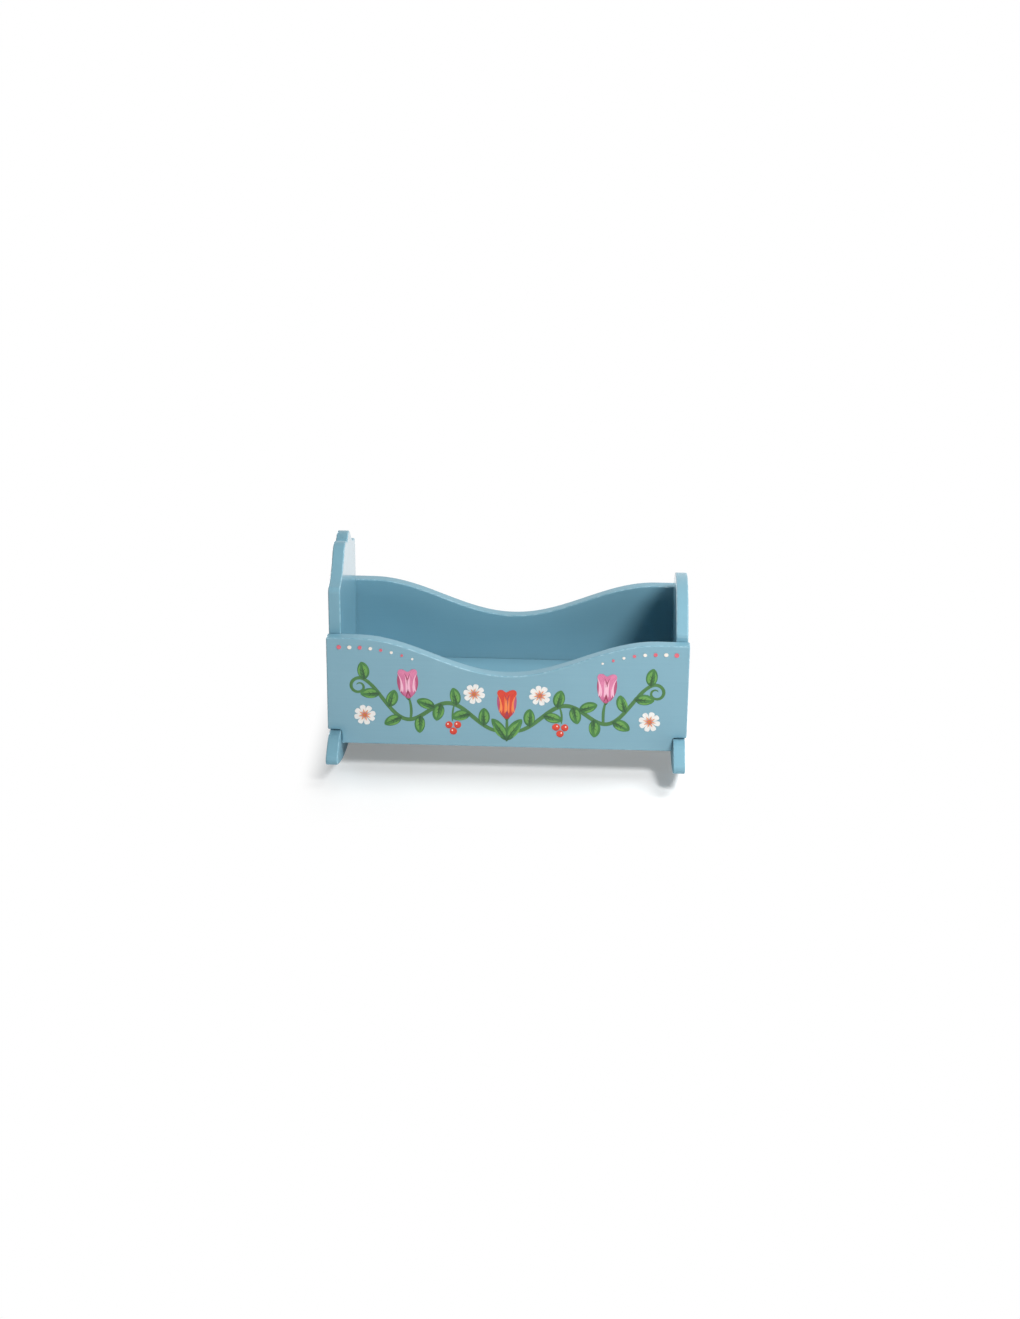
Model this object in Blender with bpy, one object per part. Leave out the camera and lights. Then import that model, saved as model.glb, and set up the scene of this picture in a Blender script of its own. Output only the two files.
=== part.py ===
"""Doll's rocking cradle in painted board, built flat and then put together.

Two end boards carry the rockers as part of their own outline. Two waved side panels are
dowelled over the edges of the end boards, and are notched at their lower corners so that
the rocker feet can come out under them. The bottom board lies on four strips of wood that
are screwed inside the box. Metres, +Z up, with the floor at Z = 0. The cradle is long
along X, with its headboard at -X, and its painted show side looks along -Y.
"""

import math

import bmesh
import bpy
from mathutils import Matrix, Vector

# Body
body_length = 0.450
body_width = 0.217
ground_clearance = 0.038
joint_gap = 0.0003
edge_round = 0.0016
edge_round_steps = 2
chord_error = 0.0001
cut_overrun = 0.004
corner_angle = math.radians(55)
crease_angle = math.radians(35)

# Side panels
side_thickness = 0.015
side_height = 0.143
wave_depth = 0.046
wave_level_end = 0.039
wave_steps = 28
notch_height = 0.0185
notch_corner_radius = 0.004
notch_side_gap = 0.0006

# End boards
end_thickness = 0.015
end_reveal = 0.002

# Rocker feet, cut in one with the end boards
rocker_radius = 0.420
rocker_flat_half = 0.012
rocker_reach = 0.156
rocker_nose_radius = 0.007
foot_slope_run = 0.029
foot_crown_radius = 0.020
foot_gap = 0.0015

# Headboard crest, heights counted from the top of the side panels
head_shoulder_rise = 0.060
head_shoulder_radius = 0.008
head_hollow_radius = 0.080
head_lobe_rise = 0.0935
head_lobe_radius = 0.024
head_lobe_place = 0.019
head_cleft_radius = 0.004

# Footboard arch, heights counted from the top of the side panels
foot_side_rise = 0.0075
foot_arch_rise = 0.039
foot_corner_radius = 0.008

# Bottom board and the strips that it lies on
bottom_thickness = 0.009
bottom_top = 0.0355
bottom_gap = 0.0005
bottom_chamfer = 0.001
cleat_width = 0.012
cleat_depth = 0.012
cleat_chamfer = 0.001

# Dowels between the side panels and the edges of the end boards
dowel_radius = 0.003
dowel_chamfer = 0.0006
dowel_in_side = 0.010
dowel_in_end = 0.020
dowel_end_gap = 0.0006
dowel_height_shares = (0.16, 0.5, 0.84)
dowel_sides = 12

# Countersunk wood screws
screw_head_radius = 0.0034
screw_shank_radius = 0.00165
screw_head_depth = 0.002
screw_rim = 0.0003
screw_length = 0.018
screw_point = 0.003
screw_tip_radius = 0.0002
screw_sides = 12
side_screw_shares = (-0.41, 0.0, 0.41)
bottom_screw_shares = (-0.22, 0.22)
end_screw_shares = (-0.3, 0.3)

# Places worked out from the sizes
side_outer_y = body_width / 2
side_inner_y = side_outer_y - side_thickness
side_middle_y = (side_outer_y + side_inner_y) / 2
side_bottom = ground_clearance
side_top = side_bottom + side_height
wave_half_length = body_length / 2 - wave_level_end
end_outer_x = body_length / 2 - end_reveal
end_inner_x = end_outer_x - end_thickness
end_centre_x = (end_outer_x + end_inner_x) / 2
end_half_width = side_inner_y - joint_gap
notch_top = side_bottom + notch_height
foot_top = notch_top - foot_gap
bottom_upper = side_bottom + bottom_top
bottom_lower = bottom_upper - bottom_thickness
cleat_top = bottom_lower - joint_gap
cleat_bottom = cleat_top - cleat_depth


def arc(centre, radius, start, end):
    """Points from angle start to angle end, close enough together to hold the chord error."""
    step = 2 * math.acos(1 - min(chord_error / radius, 1))
    count = max(2, math.ceil(abs(end - start) / step))
    angles = [start + (end - start) * i / count for i in range(count + 1)]
    return [Vector((centre.x + radius * math.cos(a), centre.y + radius * math.sin(a))) for a in angles]


def angle_to(start, end):
    return math.atan2(end.y - start.y, end.x - start.x)


def blend_centre(centre_a, radius_a, centre_b, radius_b, radius):
    """Centre of the hollow arc that touches two circles from outside, left of the way from a to b."""
    way = centre_b - centre_a
    reach_a = radius_a + radius
    reach_b = radius_b + radius
    forward = (reach_a**2 - reach_b**2 + way.length**2) / (2 * way.length)
    rise = math.sqrt(reach_a**2 - forward**2)
    way.normalize()
    return centre_a + way * forward + Vector((-way.y, way.x)) * rise


def rocker_half():
    """Right half of a rocker: out along the runner, round its nose and back over the foot."""
    runner = Vector((0, math.sqrt(rocker_radius**2 - rocker_flat_half**2)))
    nose_y = rocker_reach - rocker_nose_radius
    nose_drop = math.sqrt((rocker_radius - rocker_nose_radius) ** 2 - nose_y**2)
    nose = Vector((nose_y, runner.y - nose_drop))
    crown = Vector((nose_y - foot_slope_run, foot_top - foot_crown_radius))
    leaving = angle_to(runner, nose)
    tangent = math.acos((foot_crown_radius - rocker_nose_radius) / (nose - crown).length)
    straight = angle_to(crown, nose) + tangent
    points = arc(runner, rocker_radius, angle_to(runner, Vector((rocker_flat_half, 0))), leaving)
    points += arc(nose, rocker_nose_radius, leaving, straight)[1:]
    points += arc(crown, foot_crown_radius, straight, math.pi / 2)
    points.append(Vector((end_half_width, foot_top)))
    return points


def head_half():
    """Right half of the headboard's top: small round shoulder, long hollow, lobe and half of the cleft."""
    shoulder_y = end_half_width - head_shoulder_radius
    shoulder = Vector((shoulder_y, side_top + head_shoulder_rise - head_shoulder_radius))
    lobe = Vector((head_lobe_place, side_top + head_lobe_rise - head_lobe_radius))
    hollow = blend_centre(lobe, head_lobe_radius, shoulder, head_shoulder_radius, head_hollow_radius)
    cleft_reach = head_lobe_radius + head_cleft_radius
    cleft = Vector((0, lobe.y + math.sqrt(cleft_reach**2 - head_lobe_place**2)))
    points = arc(shoulder, head_shoulder_radius, 0, angle_to(shoulder, hollow))
    hollow_start = angle_to(hollow, shoulder) % (2 * math.pi)
    hollow_end = angle_to(hollow, lobe) % (2 * math.pi)
    points += arc(hollow, head_hollow_radius, hollow_start, hollow_end)[1:]
    points += arc(lobe, head_lobe_radius, angle_to(lobe, hollow), angle_to(lobe, cleft))[1:]
    points += arc(cleft, head_cleft_radius, angle_to(cleft, lobe), -math.pi / 2)[1:]
    return points


def foot_half():
    """Right half of the footboard's top: a small round corner and one long arch."""
    arch_radius = (end_half_width**2 + foot_arch_rise**2) / (2 * foot_arch_rise)
    arch = Vector((0, side_top + foot_side_rise + foot_arch_rise - arch_radius))
    corner_y = end_half_width - foot_corner_radius
    corner_rise = math.sqrt((arch_radius - foot_corner_radius) ** 2 - corner_y**2)
    corner = Vector((corner_y, arch.y + corner_rise))
    turn = angle_to(arch, corner)
    return arc(corner, foot_corner_radius, 0, turn) + arc(arch, arch_radius, turn, math.pi / 2)[1:]


def whole(half):
    """A closed outline from its right half, without doubling a point on the middle line."""
    left = [Vector((-p.x, p.y)) for p in reversed(half) if abs(p.x) > joint_gap]
    return half + left


def wave_height(x):
    """Height of a side panel's top edge: level at both ends, with one smooth dip between them."""
    if abs(x) >= wave_half_length:
        return side_top
    return side_top - wave_depth * (1 + math.cos(math.pi * x / wave_half_length)) / 2


def side_outline():
    """Outline of a side panel seen from the front, with a notch over each rocker foot."""
    half_length = body_length / 2
    notch_x = end_inner_x - notch_side_gap
    corner = Vector((notch_x + notch_corner_radius, notch_top - notch_corner_radius))
    half = [Vector((notch_x, side_bottom))]
    half += arc(corner, notch_corner_radius, math.pi, math.pi / 2)
    half += [Vector((half_length, notch_top)), Vector((half_length, side_top))]
    for i in range(wave_steps // 2):
        x = wave_half_length * (1 - 2 * i / wave_steps)
        half.append(Vector((x, wave_height(x))))
    half.append(Vector((0, wave_height(0))))
    return whole(half)


def material(name, colour, roughness, metallic=0.0):
    made = bpy.data.materials.new(name)
    made.use_nodes = True
    shader = made.node_tree.nodes["Principled BSDF"]
    shader.inputs["Base Color"].default_value = (*colour, 1.0)
    shader.inputs["Roughness"].default_value = roughness
    shader.inputs["Metallic"].default_value = metallic
    made.diffuse_color = (*colour, 1.0)
    return made


def add_object(name, mesh, surface, place, turn=None, parent=None):
    """A new object at its place, with an optional turn about its own axes."""
    made = bpy.data.objects.new(name, mesh)
    made.location = place
    if turn is not None:
        made.rotation_euler = turn
    if surface is not None:
        mesh.materials.append(surface)
    made.parent = parent
    bpy.context.scene.collection.objects.link(made)
    return made


def slab_mesh(name, outline, thickness, across):
    """A board of one thickness: the outline in the plane square to the axis 'across', 'X' or 'Y'."""
    bm = bmesh.new()
    if across == "X":
        corners = [(-thickness / 2, p.x, p.y) for p in outline]
        step = Vector((thickness, 0, 0))
    else:
        corners = [(p.x, -thickness / 2, p.y) for p in outline]
        step = Vector((0, thickness, 0))
    face = bm.faces.new([bm.verts.new(c) for c in corners])
    grown = bmesh.ops.extrude_face_region(bm, geom=[face])
    moved = [v for v in grown["geom"] if isinstance(v, bmesh.types.BMVert)]
    bmesh.ops.translate(bm, verts=moved, vec=step)
    bmesh.ops.recalc_face_normals(bm, faces=bm.faces)
    mesh = bpy.data.meshes.new(name)
    bm.to_mesh(mesh)
    bm.free()
    return mesh


def box_mesh(name, size):
    bm = bmesh.new()
    bmesh.ops.create_cube(bm, size=1, matrix=Matrix.Diagonal((*size, 1)))
    mesh = bpy.data.meshes.new(name)
    bm.to_mesh(mesh)
    bm.free()
    return mesh


def turned_mesh(name, profile, sides):
    """A closed solid turned about Z from (radius, height) pairs, listed from bottom to top."""
    bm = bmesh.new()
    rings = []
    for radius, height in profile:
        angles = [2 * math.pi * i / sides for i in range(sides)]
        rings.append([bm.verts.new((radius * math.cos(a), radius * math.sin(a), height)) for a in angles])
    for low, high in zip(rings, rings[1:]):
        for i in range(sides):
            bm.faces.new((low[i - 1], low[i], high[i], high[i - 1]))
    bm.faces.new(reversed(rings[0]))
    bm.faces.new(rings[-1])
    mesh = bpy.data.meshes.new(name)
    bm.to_mesh(mesh)
    bm.free()
    mesh.shade_smooth()
    mesh.set_sharp_from_angle(angle=crease_angle)
    return mesh


def dowel_profile(gap, end_gap):
    """A dowel along Z, with Z = 0 where it crosses from the end board into the side panel."""
    radius = dowel_radius + gap
    low = -dowel_in_end - end_gap
    high = dowel_in_side + end_gap
    return [
        (radius - dowel_chamfer, low),
        (radius, low + dowel_chamfer),
        (radius, high - dowel_chamfer),
        (radius - dowel_chamfer, high),
    ]


def screw_profile(gap, above):
    """A countersunk screw along Z, point down, with its head's face at Z = 0."""
    length = screw_length + gap
    return [
        (screw_tip_radius + gap, -length),
        (screw_shank_radius + gap, -length + screw_point),
        (screw_shank_radius + gap, -screw_head_depth),
        (screw_head_radius + gap, -screw_rim),
        (screw_head_radius + gap, above),
    ]


def round_edges(board):
    """Rounds the arrises all along the outline of a board."""
    bevel = board.modifiers.new("rounded edges", "BEVEL")
    bevel.width = edge_round
    bevel.segments = edge_round_steps
    bevel.limit_method = "ANGLE"
    bevel.angle_limit = corner_angle
    bevel.use_clamp_overlap = False


def ease_edges(board, chamfer):
    """Takes the sharp corners off a sawn piece."""
    bevel = board.modifiers.new("eased edges", "BEVEL")
    bevel.width = chamfer
    bevel.segments = 1


def drill(board, placed_profiles):
    """Cuts holes from a board: each hole is a turned profile and the matrix that places it."""
    bm = bmesh.new()
    for profile, sides, where in placed_profiles:
        part = turned_mesh("hole", profile, sides)
        part.transform(where)
        bm.from_mesh(part)
        bpy.data.meshes.remove(part)
    mesh = bpy.data.meshes.new(board.name + "_holes")
    bm.to_mesh(mesh)
    bm.free()
    cutter = add_object(board.name + "_holes", mesh, None, (0, 0, 0))
    cutter.hide_render = True
    cutter.display_type = "WIRE"
    cut = board.modifiers.new("holes", "BOOLEAN")
    cut.operation = "DIFFERENCE"
    cut.solver = "EXACT"
    cut.object = cutter


def smooth(board):
    board.data.shade_smooth()
    board.data.set_sharp_from_angle(angle=crease_angle)


def along(direction, place):
    """Matrix that turns Z to a direction and moves the origin to a place."""
    turn = Vector((0, 0, 1)).rotation_difference(Vector(direction))
    return Matrix.Translation(place) @ turn.to_matrix().to_4x4()


def dowel_places():
    """Matrix of every dowel, by name: three in each corner of the box."""
    places = {}
    span = side_top - notch_top
    for end, x_sign in (("head", -1), ("foot", 1)):
        for side, y_sign in (("front", -1), ("back", 1)):
            for number, share in enumerate(dowel_height_shares, 1):
                place = (x_sign * end_centre_x, y_sign * side_inner_y, notch_top + span * share)
                places[f"dowel_{end}_{side}_{number}"] = along((0, y_sign, 0), place)
    return places


def screw_places():
    """Matrix of every screw, by name: head face at the origin, point along -Z of the matrix."""
    places = {}
    cleat_middle = (cleat_top + cleat_bottom) / 2
    long_cleat = 2 * (end_inner_x - joint_gap)
    short_cleat = 2 * (side_inner_y - cleat_width - 2 * joint_gap)
    for side, y_sign in (("front", -1), ("back", 1)):
        face_y = y_sign * (side_inner_y - joint_gap - cleat_width)
        middle_y = y_sign * (side_inner_y - joint_gap - cleat_width / 2)
        for number, share in enumerate(side_screw_shares, 1):
            place = (share * long_cleat, face_y, cleat_middle)
            places[f"{side}_cleat_screw_{number}"] = along((0, -y_sign, 0), place)
        for number, share in enumerate(bottom_screw_shares, 1):
            place = (share * long_cleat, middle_y, cleat_bottom)
            places[f"{side}_bottom_screw_{number}"] = along((0, 0, -1), place)
    for end, x_sign in (("head", -1), ("foot", 1)):
        face_x = x_sign * (end_inner_x - joint_gap - cleat_width)
        for number, share in enumerate(end_screw_shares, 1):
            place = (face_x, share * short_cleat, cleat_middle)
            places[f"{end}_cleat_screw_{number}"] = along((-x_sign, 0, 0), place)
    return places


def holes_for(words, in_cleat):
    """Hole profiles for the dowels and screws whose names hold all the words of one entry."""
    dowel_hole = (dowel_profile(joint_gap, dowel_end_gap), dowel_sides)
    screw_hole = (screw_profile(joint_gap, cut_overrun if in_cleat else 0), screw_sides)
    found = []
    for name, where in DOWELS.items():
        if any(all(word in name for word in entry) for entry in words):
            found.append((*dowel_hole, where))
    for name, where in SCREWS.items():
        if any(all(word in name for word in entry) for entry in words):
            found.append((*screw_hole, where))
    return found


def add_end_boards(paint, parent):
    for name, x_sign, top in (("headboard", -1, head_half()), ("footboard", 1, foot_half())):
        end = name[:4]
        mesh = slab_mesh(name, whole(rocker_half() + top), end_thickness, "X")
        board = add_object(name, mesh, paint, (x_sign * end_centre_x, 0, 0), parent=parent)
        round_edges(board)
        smooth(board)
        drill(board, holes_for([("dowel", end), (end + "_cleat",)], False))


def add_side_panels(paint, parent):
    for side, y_sign in (("front", -1), ("back", 1)):
        name = side + "_side_panel"
        mesh = slab_mesh(name, side_outline(), side_thickness, "Y")
        board = add_object(name, mesh, paint, (0, y_sign * side_middle_y, 0), parent=parent)
        round_edges(board)
        smooth(board)
        drill(board, holes_for([("dowel", side), (side + "_cleat",)], False))


def add_bottom(paint, parent):
    length = 2 * (end_inner_x - bottom_gap)
    width = 2 * (side_inner_y - bottom_gap)
    mesh = box_mesh("bottom_board", (length, width, bottom_thickness))
    middle = (bottom_upper + bottom_lower) / 2
    board = add_object("bottom_board", mesh, paint, (0, 0, middle), parent=parent)
    ease_edges(board, bottom_chamfer)
    drill(board, holes_for([("bottom_screw",)], False))


def add_cleats(wood, parent):
    """Strips under the bottom board: two along the side panels, and two between them on the end boards."""
    middle = (cleat_top + cleat_bottom) / 2
    long_size = (2 * (end_inner_x - joint_gap), cleat_width, cleat_depth)
    short_size = (cleat_width, 2 * (side_inner_y - cleat_width - 2 * joint_gap), cleat_depth)
    long_y = side_inner_y - joint_gap - cleat_width / 2
    short_x = end_inner_x - joint_gap - cleat_width / 2
    strips = (
        ("front", long_size, (0, -long_y, middle)),
        ("back", long_size, (0, long_y, middle)),
        ("head", short_size, (-short_x, 0, middle)),
        ("foot", short_size, (short_x, 0, middle)),
    )
    for where, size, place in strips:
        name = where + "_cleat"
        strip = add_object(name, box_mesh(name, size), wood, place, parent=parent)
        ease_edges(strip, cleat_chamfer)
        drill(strip, holes_for([(where + "_cleat",), (where + "_bottom",)], True))


def add_dowels(beech, parent):
    for name, where in DOWELS.items():
        mesh = turned_mesh(name, dowel_profile(0, 0), dowel_sides)
        add_object(name, mesh, beech, where.to_translation(), where.to_euler(), parent)


def add_screws(steel, parent):
    for name, where in SCREWS.items():
        mesh = turned_mesh(name, screw_profile(0, 0), screw_sides)
        add_object(name, mesh, steel, where.to_translation(), where.to_euler(), parent)


def build():
    for old in list(bpy.data.objects):
        bpy.data.objects.remove(old, do_unlink=True)
    blue_paint = material("blue_paint", (0.206, 0.402, 0.509), 0.42)
    pine = material("pine", (0.62, 0.43, 0.25), 0.6)
    beech = material("beech", (0.66, 0.45, 0.28), 0.6)
    zinc = material("zinc", (0.62, 0.62, 0.60), 0.35, 1.0)
    cradle = add_object("cradle", None, None, (0, 0, 0))
    add_end_boards(blue_paint, cradle)
    add_side_panels(blue_paint, cradle)
    add_bottom(blue_paint, cradle)
    add_cleats(pine, cradle)
    add_dowels(beech, cradle)
    add_screws(zinc, cradle)


DOWELS = dowel_places()
SCREWS = screw_places()
build()
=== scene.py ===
# %% [markdown]
# # A painted cradle for a doll
# This lesson dresses a rocking cradle that is already built as plain solids. Five boards
# carry satin blue paint, and the front panel carries a flower border laid on with a brush.
# The solids give every size and place, so each new piece is drawn from them and covers its
# own solid exactly. Metres, +Z up, floor at Z = 0, head end at -X, painted front at -Y.

# %% Load the plain solids
import math
import random
from collections import defaultdict

import bpy
from mathutils import Matrix, Vector


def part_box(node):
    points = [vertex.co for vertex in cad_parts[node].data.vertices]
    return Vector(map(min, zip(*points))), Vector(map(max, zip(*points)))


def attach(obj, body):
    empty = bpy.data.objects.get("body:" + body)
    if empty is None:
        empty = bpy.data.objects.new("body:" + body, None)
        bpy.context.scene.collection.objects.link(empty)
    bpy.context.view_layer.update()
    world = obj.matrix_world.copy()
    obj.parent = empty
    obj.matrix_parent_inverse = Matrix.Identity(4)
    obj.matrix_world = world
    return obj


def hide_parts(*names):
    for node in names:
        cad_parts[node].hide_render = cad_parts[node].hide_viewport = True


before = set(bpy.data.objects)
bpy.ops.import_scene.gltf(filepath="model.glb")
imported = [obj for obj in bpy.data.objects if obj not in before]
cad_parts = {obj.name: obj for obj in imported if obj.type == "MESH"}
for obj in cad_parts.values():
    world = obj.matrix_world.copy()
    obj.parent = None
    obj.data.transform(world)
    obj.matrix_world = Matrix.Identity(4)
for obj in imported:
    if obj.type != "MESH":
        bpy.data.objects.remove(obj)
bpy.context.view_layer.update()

# %% [markdown]
# ## Sizes
# Lengths, widths and heights are read from the solids, which keeps the two models in step.
# What a box can't tell, such as a radius, is a named size here. A board has the same
# thickness wherever it runs, and its arrises, the long corners that a hand meets first,
# are rounded over by sandpaper before it is painted.

# %% Read the sizes from the solids
panel_low, panel_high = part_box("front_side_panel")
head_low, head_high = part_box("headboard")
foot_low, foot_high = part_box("footboard")
bottom_low, bottom_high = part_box("bottom_board")

joint_gap = 0.0003
edge_round = 0.0016
bottom_edge_round = 0.0009
edge_round_steps = 4
arc_error = 0.00002
merge_distance = 0.00002

half_length = panel_high.x
side_top = panel_high.z
side_bottom = panel_low.z
side_outer_y = -panel_low.y
side_thickness = panel_high.y - panel_low.y
side_inner_y = side_outer_y - side_thickness
end_thickness = foot_high.x - foot_low.x
end_half_width = side_inner_y - joint_gap
print("side panel:", tuple(panel_high - panel_low), "end board thickness:", end_thickness)

# %% [markdown]
# ## Camera
# The cradle is seen from a little above eye level of a child who kneels in front of it, with
# a long lens, so its sides stay almost parallel. The camera is placed by its position and by
# three turns: its heading round the vertical, its tilt downwards, and a slight roll.

# %% Set up the camera
camera_place = Vector((0.1126, -2.9111, 1.3505))
camera_heading = math.radians(2.234)
camera_tilt = math.radians(23.035)
camera_roll = math.radians(0.538)
camera_lens_mm = 67.24
camera_sensor_mm = 36.0

bpy.ops.object.camera_add()
camera = bpy.context.object
camera.name = "camera"
camera.data.lens = camera_lens_mm
camera.data.sensor_width = camera_sensor_mm
heading = Matrix.Rotation(camera_heading, 4, "Z")
tilt = Matrix.Rotation(math.pi / 2 - camera_tilt, 4, "X")
roll = Matrix.Rotation(camera_roll, 4, "Z")
camera.matrix_world = Matrix.Translation(camera_place) @ heading @ tilt @ roll
bpy.context.scene.camera = camera
bpy.context.scene.view_settings.view_transform = "Standard"
print("camera stands", round(camera_place.length, 2), "m from the cradle")

# %% [markdown]
# ## A short way to write materials
# A material is a graph of nodes. Written out in full, a few sums become pages of nodes and
# links, so a small class stands for a number that varies over a surface: Python's own + - *
# then add the Math nodes. A second class is the recipe of one material, with one method that
# adds any node: its settings first, then what goes into its sockets.

# %% Numbers that vary over a surface
class Value:
    """A number that a material works out. Python's operators on it add the Math nodes."""

    def __init__(self, recipe, socket):
        self.recipe = recipe
        self.socket = socket

    def maths(self, operation, *numbers):
        settings = {"operation": operation}
        return self.recipe.node("ShaderNodeMath", settings, dict(enumerate(numbers)))

    def __add__(self, other):
        return self.maths("ADD", self, other)

    def __radd__(self, other):
        return self.maths("ADD", other, self)

    def __sub__(self, other):
        return self.maths("SUBTRACT", self, other)

    def __rsub__(self, other):
        return self.maths("SUBTRACT", other, self)

    def __mul__(self, other):
        return self.maths("MULTIPLY", self, other)

    def __rmul__(self, other):
        return self.maths("MULTIPLY", other, self)

    def absolute(self):
        return self.maths("ABSOLUTE", self)

    def rise(self, low, high):
        """0 below low, 1 above high, and a smooth step between."""
        settings = {"interpolation_type": "SMOOTHSTEP"}
        return self.recipe.node("ShaderNodeMapRange", settings, {0: self, 1: low, 2: high})


print("sums of values become Math nodes")

# %% Recipes for materials
def drawn_out(along, across_scale, along_scale):
    """A pattern's scale for each axis, drawn out along one of them, 0 to 2."""
    scale = [across_scale] * 3
    scale[along] = along_scale
    return scale


class Recipe:
    """One material under construction, or another node tree, such as the world's."""

    def __init__(self, name, tree=None):
        if tree is None:
            self.material = bpy.data.materials.new(name)
            self.material.use_nodes = True
            tree = self.material.node_tree
        self.tree = tree
        self.shader = tree.nodes.get("Principled BSDF")

    def node(self, kind, settings, inputs, output=0):
        made = self.tree.nodes.new(kind)
        for name, setting in settings.items():
            setattr(made, name, setting)
        for name, value in inputs.items():
            self.feed(made.inputs[name], value)
        return Value(self, made.outputs[output])

    def feed(self, socket, value):
        if isinstance(value, Value):
            self.tree.links.new(value.socket, socket)
        else:
            socket.default_value = value

    def finish(self, **sockets):
        for name, value in sockets.items():
            self.feed(self.shader.inputs[name.replace("_", " ")], value)
        return self.material

    def place(self):
        """Where a point is on the object, in metres."""
        return self.node("ShaderNodeTexCoord", {}, {}, "Object")

    def along_brush(self):
        """Where a point is on a brush stroke: round the stroke and along it."""
        return self.node("ShaderNodeTexCoord", {}, {}, "UV")

    def parts(self, vector):
        """The X, Y and Z of a vector as three numbers."""
        split = self.node("ShaderNodeSeparateXYZ", {}, {0: vector})
        return [Value(self, socket) for socket in split.socket.node.outputs]

    def stretched(self, vector, scale, shift=(0.0, 0.0, 0.0)):
        """The vector times a scale for each axis, plus a shift. A large scale is a fine pattern."""
        settings = {"operation": "MULTIPLY_ADD"}
        return self.node("ShaderNodeVectorMath", settings, {0: vector, 1: scale, 2: shift})

    def noise(self, vector, scale, detail=2.0):
        inputs = {"Vector": vector, "Scale": scale, "Detail": detail}
        return self.node("ShaderNodeTexNoise", {}, inputs)

    def grain(self, along, across_scale, along_scale, detail=2.0):
        """Noise that is drawn out along one axis, as brush marks and wood fibres are."""
        scale = drawn_out(along, across_scale, along_scale)
        return self.noise(self.stretched(self.place(), scale), 1.0, detail)

    def mix(self, factor, low, high):
        """A colour between two colours, which are the node's sockets 6 and 7, and its output 2."""
        return self.node("ShaderNodeMix", {"data_type": "RGBA"}, {0: factor, 6: low, 7: high}, 2)

    def bump(self, height, depth):
        """Tilts the surface as if height, from 0 to 1, rose by depth in metres."""
        inputs = {"Height": height, "Distance": depth, "Strength": 1.0}
        return self.node("ShaderNodeBump", {}, inputs)


screen_offset = 0.055
screen_power = 2.4


def colour(red, green, blue):
    """The linear colour that a shader takes, from screen values of 0 to 255."""
    levels = [(level / 255 + screen_offset) / (1 + screen_offset) for level in (red, green, blue)]
    return (*(level**screen_power for level in levels), 1.0)


print("materials can be written as sums")

# %% [markdown]
# ## Satin blue paint
# The boards are primed, rubbed down and painted twice with a satin blue. From a step away the
# colour is even. Close up it has what a brush and a roller leave: faint streaks that run
# along the board, a fine orange peel, and a shade more or less blue from place to place. The
# rounded arrises, which the faces' own normals give away, are painted paler in patches: partly
# thinner paint, partly a painted highlight where the rounding catches the light. A clear
# varnish over the faces makes them wipeable, and turns a face that is seen almost edge on into
# a mirror; on the edges it is rubbed thin. Every board has its own direction, so one function
# mixes the paint for any two axes. The feet get no varnish: they stand on the floor, which
# dulls them.

# %% Mix the blue paint
X, Y, Z = range(3)

paint_deep = colour(117, 163, 181)
paint_pale = colour(127, 172, 188)
# Paler colour of the arrises: partly thinner paint, partly a painted highlight.
arris_pale_and_highlight = colour(166, 202, 214)
paint_shine = 0.3
paint_roughness = 0.38
scuffed_roughness = 0.55
streak_roughness = 0.08
streak_scale = (620.0, 9.0)
streak_depth = 0.000012
streak_shade = 0.6
patch_scale = 17.0
patch_shade = 0.7
shade_shift = -0.15
peel_scale = 900.0
peel_depth = 0.000010
rub_scale = 160.0
rub_range = (0.42, 0.66)
rub_and_highlight_strength = 0.7
varnish_on_faces = 1.0
varnish_on_edges = 0.2
varnish_edge = 0.85
varnish_roughness = 0.15
varnish_fade = 0.012


def blue_paint(name, along, across, matt_below=0.0):
    """Paint brushed along one axis of a board whose faces look along another axis, 0 to 2."""
    recipe = Recipe(name)
    place = recipe.place()
    streaks = recipe.grain(along, *streak_scale, detail=3.0)
    patches = recipe.noise(place, patch_scale, detail=3.0)
    peel = recipe.noise(place, peel_scale, detail=1.0)
    facing = recipe.parts(recipe.node("ShaderNodeNewGeometry", {}, {}, "Normal"))[across]
    off_floor = recipe.parts(place)[Z].rise(matt_below, matt_below + varnish_fade)
    flat = facing * facing
    # Times 4, this is 1 where the surface looks halfway round an arris.
    arris = flat * (1 - flat) * 4.0
    # Patches of paler paint on the arrises: partly rubbed-thin paint, partly a painted highlight of
    # the rounding.
    rubbed_and_highlight = arris * recipe.noise(place, rub_scale, detail=4.0).rise(*rub_range)
    shade = patches * patch_shade + streaks * streak_shade + shade_shift
    body = recipe.mix(shade, paint_deep, paint_pale)
    relief = recipe.bump(streaks, streak_depth)
    recipe.feed(relief.socket.node.inputs["Normal"], recipe.bump(peel, peel_depth))
    dullness = scuffed_roughness - off_floor * (scuffed_roughness - paint_roughness)
    on_face = flat.rise(varnish_edge, 1.0)
    varnish = on_face * (varnish_on_faces - varnish_on_edges) + varnish_on_edges
    return recipe.finish(
        Base_Color=recipe.mix(rubbed_and_highlight * rub_and_highlight_strength, body, arris_pale_and_highlight),
        Roughness=dullness + (streaks - 0.5) * streak_roughness,
        Specular_IOR_Level=paint_shine,
        Normal=relief,
        Coat_Weight=varnish * off_floor,
        Coat_Roughness=varnish_roughness,
    )


side_paint = blue_paint("blue_paint_sides", along=X, across=Y)
end_paint = blue_paint("blue_paint_ends", along=Z, across=X, matt_below=panel_low.z + varnish_fade)
bottom_paint = blue_paint("blue_paint_bottom", along=X, across=Z)
print("paints:", side_paint.name, end_paint.name, bottom_paint.name)

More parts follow.
